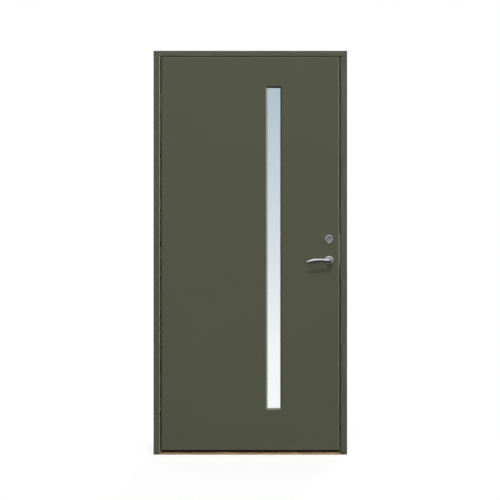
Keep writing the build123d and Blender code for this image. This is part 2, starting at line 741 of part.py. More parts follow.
def latch_piece():
    tip = Polyline(
        (LEAF_EDGE - LATCH_LENGTH, BOLT_Y[0]),
        (LEAF_EDGE, BOLT_Y[0]),
        (LEAF_EDGE, BOLT_Y[0] + LATCH_LAND),
        (LEAF_EDGE - LATCH_SLOPE, BOLT_Y[1]),
        (LEAF_EDGE - LATCH_LENGTH, BOLT_Y[1]),
        close=True,
    )
    head = extrude(Pos(0, 0, LATCH_Z[0]) * make_face(tip), LATCH_HEIGHT, dir=(0, 0, 1))
    reach = LEAF_EDGE - LATCH_LENGTH
    return head + bolt_tail(reach, FOLLOWER_RADIUS, LATCH_THROW, LATCH_TAIL_HALF, LEVER_HEIGHT)


def deadbolt_piece():
    reach = LEAF_EDGE - DEADBOLT_LENGTH
    head = block((reach, LEAF_EDGE), BOLT_Y, DEADBOLT_Z)
    return head + bolt_tail(reach, CAM_RADIUS, DEADBOLT_THROW, DEADBOLT_TAIL_HALF, CYLINDER_HEIGHT)


def hub(radius, journal, z):
    """A hub between the case sides, with a journal in each and a nose that works its bolt."""
    body = rod_y(radius, (-HUB_HALF, HUB_HALF), LOCK_X, z)
    body += rod_y(journal, CASE_Y, LOCK_X, z)
    nose = block(about(LOCK_X, NOSE_WIDTH), (-HUB_HALF, -HUB_HALF + NOSE_LAYER), (z - NOSE_REACH, z))
    return body + nose


def square_bar(sides, ys, z, room=0):
    return block(about(LOCK_X, sides[0] + room), ys, about(z, sides[1] + room))


latch_bolt = latch_piece()
deadbolt = deadbolt_piece()
SPINDLE = (SPINDLE_SIDE, SPINDLE_SIDE)
TURN_BAR = (TURN_BAR_THICK, TURN_BAR_WIDTH)
BAR_START = FRONT - RING_THICK + HOUSING_SUNK - PLUG_PROUD + PLUG_LENGTH - BAR_IN_PLUG
BAR_END = REAR + ROSE_THICK + TURN_NECK + BAR_IN_TURN
spindle = square_bar(SPINDLE, (-SPINDLE_HALF, SPINDLE_HALF), LEVER_HEIGHT)
turn_bar = square_bar(TURN_BAR, (BAR_START, BAR_END), CYLINDER_HEIGHT)
follower = hub(FOLLOWER_RADIUS, FOLLOWER_JOURNAL, LEVER_HEIGHT) - spindle
turn_cam = hub(CAM_RADIUS, CAM_JOURNAL, CYLINDER_HEIGHT) - turn_bar


# Lever: a round neck and elbow, then a grip lofted through oval sections
GRIP_Y = FRONT - GRIP_STANDOFF


def grip_section(reach, rise, height, depth):
    seat = Plane(
        origin=(LOCK_X - reach, GRIP_Y, LEVER_HEIGHT + rise), x_dir=(0, 0, 1), z_dir=(-1, 0, 0)
    )
    return seat * Ellipse(height / 2, depth / 2)


def lever_piece():
    elbow_start = GRIP_Y + ELBOW_RADIUS
    neck = rod_y(NECK_RADIUS, (elbow_start, FRONT - NECK_START), LOCK_X, LEVER_HEIGHT)
    turn_axis = Axis((LOCK_X - ELBOW_RADIUS, elbow_start, LEVER_HEIGHT), (0, 0, 1))
    disc = Pos(LOCK_X, elbow_start, LEVER_HEIGHT) * Rot(90, 0, 0) * Circle(NECK_RADIUS)
    elbow = revolve(disc, turn_axis, -90)
    sections = [grip_section(ELBOW_RADIUS, 0, 2 * NECK_RADIUS, 2 * NECK_RADIUS)]
    sections += [
        grip_section(
            reach * LEVER_REACH, rise * GRIP_HEIGHT, height * GRIP_HEIGHT, depth * GRIP_DEPTH
        )
        for reach, rise, height, depth in GRIP_SHARES
    ]
    return neck + elbow + loft(sections) - spindle


outside_lever = lever_piece()
inside_lever = mirror(outside_lever, about=Plane.XZ)


# Rose: a shallow hollow disc with a raised collar that carries the neck
def rose_piece():
    rose = rod_y(ROSE_RADIUS, (FRONT - ROSE_THICK, FRONT), LOCK_X, LEVER_HEIGHT)
    rose = fillet(rose.faces().sort_by(Axis.Y)[0].edges(), ROSE_ROUND)
    collar_ys = (FRONT - ROSE_THICK - COLLAR_RISE, FRONT - ROSE_THICK)
    collar = rod_y(COLLAR_RADIUS, collar_ys, LOCK_X, LEVER_HEIGHT)
    rose += fillet(collar.faces().sort_by(Axis.Y)[0].edges(), COLLAR_ROUND)
    rose -= rod_y(ROSE_HOLLOW_RADIUS, (FRONT - ROSE_HOLLOW, FRONT + OVERRUN), LOCK_X, LEVER_HEIGHT)
    bore = (collar_ys[0] - OVERRUN, FRONT)
    return rose - rod_y(NECK_RADIUS + RUNNING_CLEAR, bore, LOCK_X, LEVER_HEIGHT)


outside_rose = rose_piece()
inside_rose = mirror(outside_rose, about=Plane.XZ)


def rose_bolt(z):
    bolt = rod_y(ROSE_BOLT_RADIUS, (FRONT, REAR), LOCK_X, z)
    bolt += rod_y(ROSE_BOLT_HEAD_RADIUS, (FRONT - ROSE_BOLT_HEAD, FRONT), LOCK_X, z)
    return (bolt + rod_y(ROSE_BOLT_HEAD_RADIUS, (REAR, REAR + ROSE_BOLT_HEAD), LOCK_X, z)).solid()


rose_bolts = Compound([rose_bolt(z) for z in rose_bolt_zs])
for z in rose_bolt_zs:
    bolt_hole = rod_y(ROSE_BOLT_RADIUS + SLIP_CLEAR, widen((FRONT, REAR), OVERRUN), LOCK_X, z)
    outer_skin -= bolt_hole
    inner_skin -= bolt_hole
    lock_stile -= bolt_hole
spindle_hole = rod_y(SPINDLE_HOLE_RADIUS, widen((FRONT, REAR), OVERRUN), LOCK_X, LEVER_HEIGHT)
outer_skin -= spindle_hole
inner_skin -= spindle_hole
lock_stile -= spindle_hole

# Cylinder: an oval housing in a thick ring outside, its key plug, and the thumb turn inside
RING_FRONT = FRONT - RING_THICK
HOUSING = (RING_FRONT + HOUSING_SUNK, CASE_Y[0])
PLUG_FRONT = HOUSING[0] - PLUG_PROUD
cylinder_ring = egg(0, (RING_FRONT, FRONT))
cylinder_ring = fillet(cylinder_ring.faces().sort_by(Axis.Y)[0].edges(), RING_ROUND)
cylinder_ring -= egg(-RING_WALL, widen((RING_FRONT, FRONT), OVERRUN))
ring_face = cylinder_ring.faces().sort_by(Axis.Y)[0]
cylinder_ring = fillet(ring_face.inner_wires()[0].edges(), RING_INNER_ROUND)
cylinder_housing = egg(-RING_WALL, HOUSING)
cylinder_housing -= rod_y(
    PLUG_RADIUS + RUNNING_CLEAR, widen(HOUSING, OVERRUN), LOCK_X, CYLINDER_HEIGHT
)
key_plug = rod_y(PLUG_RADIUS, (PLUG_FRONT, PLUG_FRONT + PLUG_LENGTH), LOCK_X, CYLINDER_HEIGHT)
keyway = Pos(LOCK_X, PLUG_FRONT, CYLINDER_HEIGHT) * Rot(90, 0, -KEYWAY_TILT) * Rectangle(
    KEYWAY_WIDTH, KEYWAY_HEIGHT
)
key_plug -= extrude(keyway, KEYWAY_DEPTH, dir=(0, 1, 0))
key_plug -= turn_bar
housing_hole = egg(HOUSING_CLEAR - RING_WALL, (FRONT - OVERRUN, 0))
outer_skin -= housing_hole
lock_stile -= housing_hole
turn_hole = rod_y(TURN_HOLE_RADIUS, (0, REAR + OVERRUN), LOCK_X, CYLINDER_HEIGHT)
inner_skin -= turn_hole
lock_stile -= turn_hole
ROSE_REAR = REAR + ROSE_THICK
thumb_rose = rod_y(ROSE_RADIUS, (REAR, ROSE_REAR), LOCK_X, CYLINDER_HEIGHT)
thumb_rose = fillet(thumb_rose.faces().sort_by(Axis.Y)[-1].edges(), ROSE_ROUND)
thumb_rose -= rod_y(
    TURN_SHAFT_RADIUS + RUNNING_CLEAR, widen((REAR, ROSE_REAR), OVERRUN), LOCK_X, CYLINDER_HEIGHT
)


def thumb_turn_piece():
    grip_front = ROSE_REAR + TURN_NECK
    outline = SlotOverall(TURN_GRIP_LENGTH, TURN_GRIP_THICK, rotation=90)
    wing = Pos(LOCK_X, grip_front, CYLINDER_HEIGHT) * Rot(90, 0, 0) * outline
    wing = extrude(wing, TURN_GRIP, dir=(0, 1, 0))
    wing = fillet(wing.faces().sort_by(Axis.Y)[-1].edges(), TURN_GRIP_ROUND)
    shaft = rod_y(TURN_SHAFT_RADIUS, (REAR + NECK_START, grip_front), LOCK_X, CYLINDER_HEIGHT)
    return wing + shaft - turn_bar


thumb_turn = thumb_turn_piece()


# Strike plate let into the lock jamb, with a pocket behind each bolt hole
STRIKE_Z = widen((LEVER_HEIGHT, CYLINDER_HEIGHT), STRIKE_OVER)
STRIKE_X = (JAMB_EDGE, JAMB_EDGE + STRIKE_THICK)
strike_plate = block(STRIKE_X, about(0, STRIKE_WIDTH), STRIKE_Z)
strike_plate = fillet(strike_plate.edges().filter_by(Axis.X), STRIKE_ROUND)
lock_jamb -= strike_plate
strike_plate -= bolt_holes(widen(STRIKE_X, OVERRUN), STRIKE_ROOM)
lock_jamb -= bolt_holes((STRIKE_X[1] - OVERRUN, STRIKE_X[1] + STRIKE_POCKET), STRIKE_ROOM)
strike_zs = widen(STRIKE_Z, -EDGE_SCREW_INSET) + about(sum(STRIKE_Z) / 2, STRIKE_WIDTH)
strike_places = [(JAMB_EDGE, 0, z) for z in strike_zs]
strike_screws, hosts = drive_screws(EDGE_SCREW, strike_places, HEAD_LEFT, lock_jamb, strike_plate)
lock_jamb, strike_plate = hosts

# Latch guard screwed to the lock edge in front of the forend
GUARD_Y = (FRONT + GUARD_SET_BACK, FRONT + GUARD_SET_BACK + GUARD_WIDTH)
GUARD_Z = (LEVER_HEIGHT - GUARD_BELOW, LEVER_HEIGHT - GUARD_BELOW + GUARD_HEIGHT)
GUARD_X = (LEAF_EDGE, LEAF_EDGE + GUARD_THICK)
latch_guard = block(GUARD_X, GUARD_Y, GUARD_Z)
latch_guard = fillet(edges_at(latch_guard, Axis.Z, x=GUARD_X[1], y=GUARD_Y[0]), GUARD_ROUND)
guard_zs = widen(GUARD_Z, -GUARD_SCREW_INSET) + (sum(GUARD_Z) / 2,)
guard_places = [(GUARD_X[1], sum(GUARD_Y) / 2, z) for z in guard_zs]
guard_screws, hosts = drive_screws(
    GUARD_SCREW, guard_places, HEAD_RIGHT, latch_guard, outer_skin, lock_stile
)
latch_guard, outer_skin, lock_stile = hosts
forend_places = [(LEAF_EDGE, 0, z) for z in widen(CASE_Z, FOREND_OVER - EDGE_SCREW_INSET)]
forend_screws, hosts = drive_screws(EDGE_SCREW, forend_places, HEAD_RIGHT, lock_forend, lock_stile)
lock_forend, lock_stile = hosts
edge_screws = Compound(guard_screws.solids() + forend_screws.solids())

nodes = {
    "frame_head": frame_head,
    "hinge_jamb": hinge_jamb,
    "lock_jamb": lock_jamb,
    "threshold": threshold,
    "door_stops": door_stops,
    "frame_seal": frame_seal,
    "frame_screws": frame_screws,
    "strike_plate": strike_plate,
    "strike_screws": strike_screws,
    "hinge_pins": hinge_pins,
    "bracket_screws": bracket_screws,
    "outer_skin": outer_skin,
    "inner_skin": inner_skin,
    "hinge_stile": hinge_stile,
    "lock_stile": lock_stile,
    "top_rail": top_rail,
    "bottom_rail": bottom_rail,
    "window_stud_left": window_stud_left,
    "window_stud_right": window_stud_right,
    "window_head_block": window_head_block,
    "window_sill_block": window_sill_block,
    "insulation_wide": insulation_wide,
    "insulation_narrow": insulation_narrow,
    "bottom_sweep": bottom_sweep,
    "outer_pane": outer_pane,
    "middle_pane": middle_pane,
    "inner_pane": inner_pane,
    "glass_spacers": glass_spacers,
    "glazing_seals": glazing_seals,
    "side_beads": side_beads,
    "end_beads": end_beads,
    "setting_blocks": setting_blocks,
    "plate_screws": plate_screws,
    "lock_case": lock_case,
    "lock_cover": lock_cover,
    "lock_forend": lock_forend,
    "edge_screws": edge_screws,
    "latch_guard": latch_guard,
    "outside_rose": outside_rose,
    "inside_rose": inside_rose,
    "rose_bolts": rose_bolts,
    "cylinder_ring": cylinder_ring,
    "cylinder_housing": cylinder_housing,
    "thumb_rose": thumb_rose,
    "outside_lever": outside_lever,
    "inside_lever": inside_lever,
    "spindle": spindle,
    "follower": follower,
    "latch_bolt": latch_bolt,
    "deadbolt": deadbolt,
    "key_plug": key_plug,
    "turn_bar": turn_bar,
    "turn_cam": turn_cam,
    "thumb_turn": thumb_turn,
}
for level in levels:
    nodes["hinge_arm_" + level] = hinge_arms[level]
    nodes["hinge_bracket_" + level] = hinge_brackets[level]

os.makedirs("parts", exist_ok=True)
for name, piece in nodes.items():
    export_step(piece, f"parts/{name}.step")
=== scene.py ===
import math

import bpy
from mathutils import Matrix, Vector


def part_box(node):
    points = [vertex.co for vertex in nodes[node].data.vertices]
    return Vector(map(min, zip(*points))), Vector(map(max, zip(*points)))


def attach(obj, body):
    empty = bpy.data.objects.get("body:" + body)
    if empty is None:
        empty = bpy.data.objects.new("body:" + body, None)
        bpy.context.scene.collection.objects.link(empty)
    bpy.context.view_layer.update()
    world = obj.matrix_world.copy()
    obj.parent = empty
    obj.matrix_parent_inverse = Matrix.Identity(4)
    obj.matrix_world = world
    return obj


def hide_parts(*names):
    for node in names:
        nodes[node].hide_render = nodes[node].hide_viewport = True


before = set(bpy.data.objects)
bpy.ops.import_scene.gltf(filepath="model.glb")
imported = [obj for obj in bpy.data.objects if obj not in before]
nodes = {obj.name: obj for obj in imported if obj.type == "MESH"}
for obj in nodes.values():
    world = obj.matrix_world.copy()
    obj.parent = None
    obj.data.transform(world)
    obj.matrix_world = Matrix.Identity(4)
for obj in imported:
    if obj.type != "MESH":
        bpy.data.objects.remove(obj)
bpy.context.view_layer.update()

# Head, jambs and stops
# Softwood boards, planed, filled and sprayed in one satin olive paint. The head lies over the jambs and
# is screwed down into them, and the stops are strips planted on their inner faces.
OLIVE = (0.0835, 0.0900, 0.0570)
TONE_PER_METRE = 3.0
TONE_DRIFT = 0.02
PAINT_GLOSS = 0.45
SATIN_PER_METRE = 11.0
SATIN_LOW = 0.38
SATIN_HIGH = 0.46
PEEL_PER_METRE = 380.0
PEEL = 0.00002
# Painted highlight along the edges: how much lighter the paint is there, and the width it covers.
EDGE_HIGHLIGHT = 1.3
EDGE_HIGHLIGHT_WIDTH = 0.003
EDGE_HIGHLIGHT_FULL = 0.00075
EDGE_START = 1.1
EDGE_FULL = 1.6
MIX_SHARE = 0
MIX_FIRST = 6
MIX_SECOND = 7
MIX_COLOUR = 2
RANGE_FROM_LOW = 7
RANGE_FROM_HIGH = 8


def new_finish(name, roughness, metallic=0.0):
    finish = bpy.data.materials.new(name)
    finish.use_nodes = True
    tree = finish.node_tree
    shader = tree.nodes["Principled BSDF"]
    shader.inputs["Roughness"].default_value = roughness
    shader.inputs["Metallic"].default_value = metallic
    return finish, tree, shader


def mottle(tree, per_metre, stretch=(1, 1, 1), detail=3.0):
    place = tree.nodes.new("ShaderNodeTexCoord")
    squeeze = tree.nodes.new("ShaderNodeMapping")
    squeeze.inputs["Scale"].default_value = stretch
    cloud = tree.nodes.new("ShaderNodeTexNoise")
    cloud.inputs["Scale"].default_value = per_metre
    cloud.inputs["Detail"].default_value = detail
    tree.links.new(place.outputs["Object"], squeeze.inputs["Vector"])
    tree.links.new(squeeze.outputs["Vector"], cloud.inputs["Vector"])
    return cloud.outputs["Fac"]


def fade(tree, pattern, low, high, start=0.3, end=0.7):
    span = tree.nodes.new("ShaderNodeMapRange")
    span.inputs["From Min"].default_value = start
    span.inputs["From Max"].default_value = end
    span.inputs["To Min"].default_value = low
    span.inputs["To Max"].default_value = high
    tree.links.new(pattern, span.inputs["Value"])
    return span.outputs["Result"]


def two_tone(tree, share, first, second):
    mix = tree.nodes.new("ShaderNodeMix")
    mix.data_type = "RGBA"
    tree.links.new(share, mix.inputs[MIX_SHARE])
    for socket, colour in ((mix.inputs[MIX_FIRST], first), (mix.inputs[MIX_SECOND], second)):
        if isinstance(colour, tuple):
            socket.default_value = (*colour, 1)
        else:
            tree.links.new(colour, socket)
    return mix.outputs[MIX_COLOUR]


def relief(tree, shader, pattern, height):
    bump = tree.nodes.new("ShaderNodeBump")
    bump.inputs["Distance"].default_value = height
    tree.links.new(pattern, bump.inputs["Height"])
    for link in shader.inputs["Normal"].links:
        tree.links.new(link.from_socket, bump.inputs["Normal"])
    tree.links.new(bump.outputs["Normal"], shader.inputs["Normal"])


def shade(colour, level):
    return tuple(level * part for part in colour)


def dress(finish, *names):
    for name in names:
        for place in nodes[name].material_slots:
            place.material = finish


def from_middle(tree, low, high):
    place = tree.nodes.new("ShaderNodeTexCoord")
    away = tree.nodes.new("ShaderNodeVectorMath")
    away.operation = "SUBTRACT"
    away.inputs[1].default_value = [(a + b) / 2 for a, b in zip(low, high)]
    tree.links.new(place.outputs["Object"], away.inputs[0])
    return away.outputs["Vector"]


# Painted highlight mask: rises to 1 along the piece's box edges, where the paint is made lighter to look
# lit.
def highlighted_edges(tree, low, high):
    size = tree.nodes.new("ShaderNodeVectorMath")
    size.operation = "ABSOLUTE"
    near = tree.nodes.new("ShaderNodeMapRange")
    near.data_type = "FLOAT_VECTOR"
    half = [(b - a) / 2 for a, b in zip(low, high)]
    near.inputs[RANGE_FROM_LOW].default_value = [reach - EDGE_HIGHLIGHT_WIDTH for reach in half]
    near.inputs[RANGE_FROM_HIGH].default_value = [reach - EDGE_HIGHLIGHT_FULL for reach in half]
    count = tree.nodes.new("ShaderNodeVectorMath")
    count.operation = "DOT_PRODUCT"
    count.inputs[1].default_value = (1, 1, 1)
    tree.links.new(from_middle(tree, low, high), size.inputs[0])
    tree.links.new(size.outputs["Vector"], near.inputs["Vector"])
    tree.links.new(near.outputs["Vector"], count.inputs[0])
    return fade(tree, count.outputs["Value"], 0, 1, EDGE_START, EDGE_FULL)


def satin_paint(name, colour, low, high):
    finish, tree, shader = new_finish(name, SATIN_HIGH)
    shader.inputs["Specular IOR Level"].default_value = PAINT_GLOSS
    clouds = fade(tree, mottle(tree, TONE_PER_METRE), 0, 1)
    hue = two_tone(tree, clouds, shade(colour, 1 - TONE_DRIFT), shade(colour, 1 + TONE_DRIFT))
    # Painted highlight: the paint is lighter along the box edges, standing in for lit arrises.
    hue = two_tone(tree, highlighted_edges(tree, low, high), hue, shade(colour, EDGE_HIGHLIGHT))
    satin = fade(tree, mottle(tree, SATIN_PER_METRE), SATIN_LOW, SATIN_HIGH)
    tree.links.new(hue, shader.inputs["Base Color"])
    tree.links.new(satin, shader.inputs["Roughness"])
    relief(tree, shader, mottle(tree, PEEL_PER_METRE), PEEL)
    return finish


for name in ("frame_head", "hinge_jamb", "lock_jamb", "door_stops"):
    dress(satin_paint(f"paint {name}", OLIVE, *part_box(name)), name)

# Planed arrises of the jambs
# The front corner of each jamb beside the leaf is planed to a small flat before painting, so that it
# catches the light as one crisp line.
ARRIS = 0.003
MERGE = 0.000005
SMOOTH = 25
JAMB_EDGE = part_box("lock_jamb")[0][0]
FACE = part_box("lock_jamb")[0][1]


def planed(name, body, set_in):
    piece = bpy.data.objects.new(f"{name}_planed", nodes[name].data.copy())
    bpy.context.scene.collection.objects.link(piece)
    bpy.ops.object.select_all(action="DESELECT")
    piece.select_set(True)
    bpy.context.view_layer.objects.active = piece
    bpy.ops.mesh.customdata_custom_splitnormals_clear()
    bpy.ops.object.mode_set(mode="EDIT")
    bpy.ops.mesh.select_all(action="SELECT")
    bpy.ops.mesh.remove_doubles(threshold=MERGE)
    bpy.ops.object.mode_set(mode="OBJECT")
    for point in piece.data.vertices:
        depth = set_in(point.co)
        if depth < ARRIS and point.co.y < FACE + ARRIS:
            point.co.y = FACE + ARRIS - depth
    bpy.ops.object.shade_smooth_by_angle(angle=math.radians(SMOOTH))
    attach(piece, body)
    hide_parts(name)
    return piece


def from_jamb_edge(at):
    return abs(at.x) - JAMB_EDGE


hinge_side = planed("hinge_jamb", "frame", from_jamb_edge)
lock_side = planed("lock_jamb", "frame", from_jamb_edge)

# Threshold
# One oak board, oiled, with its grain along the doorway. It is let in between the jambs, and two screws
# through each jamb hold it.
OAK = (0.395, 0.247, 0.122)
OAK_DARK = (0.22, 0.125, 0.055)
OILED = 0.45
BANDS_PER_METRE = 12.0
BAND_ALONG = 0.06
BAND_ACROSS = 1.6
BAND_DETAIL = 6.0
BAND_DULLER = 0.08
BAND_SLEEKER = 0.06
PORES_PER_METRE = 90.0
PORE_ALONG = 0.03
PORE_ACROSS = 3.0
PORE_DETAIL = 2.0
PORE_SHARE = 0.35
PORE_START = 0.25
PORE_END = 0.45
PORE_DEPTH = 0.00015


def timber(name, pale, dark, along, roughness):
    finish, tree, shader = new_finish(name, roughness)
    band_stretch = tuple(BAND_ALONG if axis == along else BAND_ACROSS for axis in "XYZ")
    pore_stretch = tuple(PORE_ALONG if axis == along else PORE_ACROSS for axis in "XYZ")
    bands = mottle(tree, BANDS_PER_METRE, band_stretch, BAND_DETAIL)
    pores = mottle(tree, PORES_PER_METRE, pore_stretch, PORE_DETAIL)
    hue = two_tone(tree, fade(tree, bands, 0, 1), dark, pale)
    hue = two_tone(tree, fade(tree, pores, PORE_SHARE, 0, PORE_START, PORE_END), hue, dark)
    dullness = fade(tree, bands, roughness + BAND_DULLER, roughness - BAND_SLEEKER)
    tree.links.new(hue, shader.inputs["Base Color"])
    tree.links.new(dullness, shader.inputs["Roughness"])
    relief(tree, shader, pores, PORE_DEPTH)
    return finish


dress(timber("oak", OAK, OAK_DARK, "X", OILED), "threshold")

# Weather seals
# Extruded black rubber pressed into grooves: a bulb seal in the stops and threshold, gaskets round the
# panes and a sweep along the foot of the leaf.
RUBBER = (0.007, 0.007, 0.007)
RUBBER_DULL = 0.7
RUBBER_GLOSS = 0.15
DUST = 1.5
DUST_PER_METRE = 60.0
SCUFF = 0.1
SCUFFS_PER_METRE = 150.0
PIMPLES = 0.00002
PIMPLES_PER_METRE = 900.0


def moulded(name, colour, roughness, gloss=0.5):
    finish, tree, shader = new_finish(name, roughness)
    shader.inputs["Specular IOR Level"].default_value = gloss
    dust = fade(tree, mottle(tree, DUST_PER_METRE), 0, 1)
    scuffs = fade(tree, mottle(tree, SCUFFS_PER_METRE), roughness - SCUFF, roughness + SCUFF)
    tree.links.new(two_tone(tree, dust, colour, shade(colour, DUST)), shader.inputs["Base Color"])
    tree.links.new(scuffs, shader.inputs["Roughness"])
    relief(tree, shader, mottle(tree, PIMPLES_PER_METRE), PIMPLES)
    return finish


rubber = moulded("rubber", RUBBER, RUBBER_DULL, RUBBER_GLOSS)
dress(rubber, "frame_seal", "glazing_seals", "bottom_sweep")

# Leaf
# Two boards on a frame of stiles and rails, sprayed all over in the same olive, with the outer board's
# corners planed like the jambs'. Studs and blocks frame the window and rigid foam fills the rest.
PINE = (0.56, 0.41, 0.25)
PINE_DARK = (0.42, 0.27, 0.14)
SAWN = 0.6
FOAM = (0.74, 0.71, 0.55)
FOAM_DULL = 0.8
leaf_paint = satin_paint("leaf paint", OLIVE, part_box("outer_skin")[0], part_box("inner_skin")[1])
dress(leaf_paint, "outer_skin", "inner_skin", "hinge_stile", "lock_stile", "top_rail", "bottom_rail")
skin_low, skin_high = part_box("outer_skin")


def from_skin_edge(at):
    return min(skin_high[0] - abs(at.x), at.z - skin_low[2], skin_high[2] - at.z)


outer_face = planed("outer_skin", "leaf", from_skin_edge)
dress(timber("upright pine", PINE, PINE_DARK, "Z", SAWN), "window_stud_left", "window_stud_right")
dress(timber("level pine", PINE, PINE_DARK, "X", SAWN), "window_head_block", "window_sill_block")
dress(moulded("foam", FOAM, FOAM_DULL), "insulation_wide", "insulation_narrow")

# Window
# A sealed triple unit on plastic blocks, held from inside by mitred painted beads. The outer pane carries
# a painted sky reflection in its colour, blue-grey at the top and fading out downwards.
CLEAR = (0.985, 0.99, 0.99)
GLASS_BEND = 1.3
WAVE = 0.00005
WAVES_PER_METRE = 4.0
SKY_REFLECTION_HIGH = (0.49, 0.585, 0.665)
SKY_REFLECTION_MIDDLE = (0.71, 0.77, 0.83)
SKY_REFLECTION_FAINT = (0.9409, 0.9506, 0.9506)
SKY_REFLECTION_LOW = (0.97, 0.98, 0.98)
SKY_REFLECTION_STOPS = ((0.0, SKY_REFLECTION_LOW), (0.18, SKY_REFLECTION_FAINT), (0.5, SKY_REFLECTION_MIDDLE), (0.95, SKY_REFLECTION_HIGH))
PLASTIC_DULL = 0.5
SPACER = (0.33, 0.34, 0.35)
SPACER_DULL = 0.4
TARNISH_PER_METRE = 40.0
TARNISH_LOW = 0.93
TARNISH_HIGH = 1.04
GRAIN_PER_METRE = 700.0
GRAIN_DETAIL = 5.0
GRAIN_SLEEKER = 0.8
GRAIN_DULLER = 1.25
GRAIN_DEPTH = 0.000004


def clear_pane(name):
    finish, tree, shader = new_finish(name, 0.0)
    shader.inputs["Transmission Weight"].default_value = 1.0
    shader.inputs["IOR"].default_value = GLASS_BEND
    shader.inputs["Base Color"].default_value = (*CLEAR, 1)
    relief(tree, shader, mottle(tree, WAVES_PER_METRE), WAVE)
    return finish, tree, shader


# Painted reflection: the pane's colour runs from clear at its foot to blue-grey at its head, a sky
# reflection put into the glass.
def sky_painted_pane(name, foot, head):
    finish, tree, shader = clear_pane(name)
    place = tree.nodes.new("ShaderNodeTexCoord")
    split = tree.nodes.new("ShaderNodeSeparateXYZ")
    ramp = tree.nodes.new("ShaderNodeValToRGB")
    stops = ramp.color_ramp.elements
    for at, colour in SKY_REFLECTION_STOPS[1:-1]:
        stops.new(at)
    for stop, (at, colour) in zip(stops, SKY_REFLECTION_STOPS):
        stop.position = at
        stop.color = (*colour, 1)
    tree.links.new(place.outputs["Object"], split.inputs["Vector"])
    rise = fade(tree, split.outputs["Z"], 0, 1, foot, head)
    tree.links.new(rise, ramp.inputs["Fac"])
    tree.links.new(ramp.outputs["Color"], shader.inputs["Base Color"])
    return finish


def metal(name, colour, roughness, stretch=(1, 1, 1)):
    finish, tree, shader = new_finish(name, roughness, 1.0)
    clouds = fade(tree, mottle(tree, TARNISH_PER_METRE, stretch), 0, 1)
    hue = two_tone(tree, clouds, shade(colour, TARNISH_LOW), shade(colour, TARNISH_HIGH))
    fine = mottle(tree, GRAIN_PER_METRE, stretch, GRAIN_DETAIL)
    dullness = fade(tree, fine, GRAIN_SLEEKER * roughness, GRAIN_DULLER * roughness)
    tree.links.new(hue, shader.inputs["Base Color"])
    tree.links.new(dullness, shader.inputs["Roughness"])
    relief(tree, shader, fine, GRAIN_DEPTH)
    return finish


pane_low, pane_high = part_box("outer_pane")
# The outer pane gets the painted sky reflection; the other panes stay clear.
dress(sky_painted_pane("glass with painted sky", pane_low[2], pane_high[2]), "outer_pane")
dress(clear_pane("clear glass")[0], "middle_pane", "inner_pane")
dress(satin_paint("bead paint", OLIVE, *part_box("side_beads")), "side_beads", "end_beads")
dress(moulded("setting plastic", RUBBER, PLASTIC_DULL), "setting_blocks")
dress(metal("spacer", SPACER, SPACER_DULL), "glass_spacers")

# Hinges and fixings
# Three concealed hinges of zinc-plated steel: brackets let into the jamb, pins, and swan-neck arms let
# into the edge of the leaf. All the screws are zinc-plated too.
ZINC = (0.45, 0.46, 0.47)
ZINC_DULL = 0.36
HINGES = ("bottom", "middle", "top")
zinc = metal("zinc plate", ZINC, ZINC_DULL)
dress(zinc, "hinge_pins", "bracket_screws", "plate_screws", "frame_screws", "strike_screws", "edge_screws")
dress(zinc, *(f"hinge_{piece}_{place}" for piece in ("bracket", "arm") for place in HINGES))

# Lock
# A mortice lock in a plated case. Its forend and the strike plate are brushed stainless steel, the bolts
# are nickelled brass, and a painted guard strip covers the latch.
STEEL = (0.56, 0.56, 0.55)
STEEL_DULL = 0.3
BRUSHED = (1, 1, 0.04)
BRASS = (0.60, 0.50, 0.33)
BRASS_DULL = 0.22
# Painted highlight: the guard's olive is made far lighter than the leaf's, so the strip looks lit.
LIT_GUARD_OLIVE = (0.20, 0.21, 0.165)
dress(zinc, "lock_case", "lock_cover", "follower", "turn_cam", "spindle", "turn_bar", "rose_bolts")
dress(metal("brushed steel", STEEL, STEEL_DULL, BRUSHED), "strike_plate", "lock_forend")
dress(metal("bolt brass", BRASS, BRASS_DULL), "latch_bolt", "deadbolt")
dress(satin_paint("guard paint with painted highlight", LIT_GUARD_OLIVE, *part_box("latch_guard")), "latch_guard")

# Levers and cylinder
# Cast levers, polished and chromed, on round roses with faintly domed faces. The cylinder and the
# egg-shaped ring round it are nickel-plated, a little duller.
CHROME = (0.78, 0.79, 0.80)
CHROME_DULL = 0.12
NICKEL = (0.90, 0.90, 0.89)
NICKEL_DULL = 0.16
SATIN_NICKEL = (0.55, 0.55, 0.59)
SATIN_NICKEL_DULL = 0.26
DOME = 0.0012
ROSES = ("outside_rose", "inside_rose")
CHROMED = ("outside_lever", "inside_lever", "thumb_turn", "thumb_rose")
PLATED = ("cylinder_ring", "cylinder_housing", "key_plug")


def domed_chrome(name, low, high):
    finish = metal(name, CHROME, CHROME_DULL)
    tree = finish.node_tree
    share = tree.nodes.new("ShaderNodeVectorMath")
    share.operation = "MULTIPLY"
    share.inputs[1].default_value = (2 / (high[0] - low[0]), 0, 2 / (high[2] - low[2]))
    square = tree.nodes.new("ShaderNodeVectorMath")
    square.operation = "DOT_PRODUCT"
    tree.links.new(from_middle(tree, low, high), share.inputs[0])
    tree.links.new(share.outputs["Vector"], square.inputs[0])
    tree.links.new(share.outputs["Vector"], square.inputs[1])
    rise = fade(tree, square.outputs["Value"], 1, 0, 0, 1)
    relief(tree, tree.nodes["Principled BSDF"], rise, DOME)
    return finish


dress(metal("chrome", CHROME, CHROME_DULL), *CHROMED)
dress(domed_chrome("domed chrome", *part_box("outside_rose")), *ROSES)
dress(metal("nickel", NICKEL, NICKEL_DULL), "cylinder_ring", "key_plug")
dress(metal("satin nickel", SATIN_NICKEL, SATIN_NICKEL_DULL), "cylinder_housing")

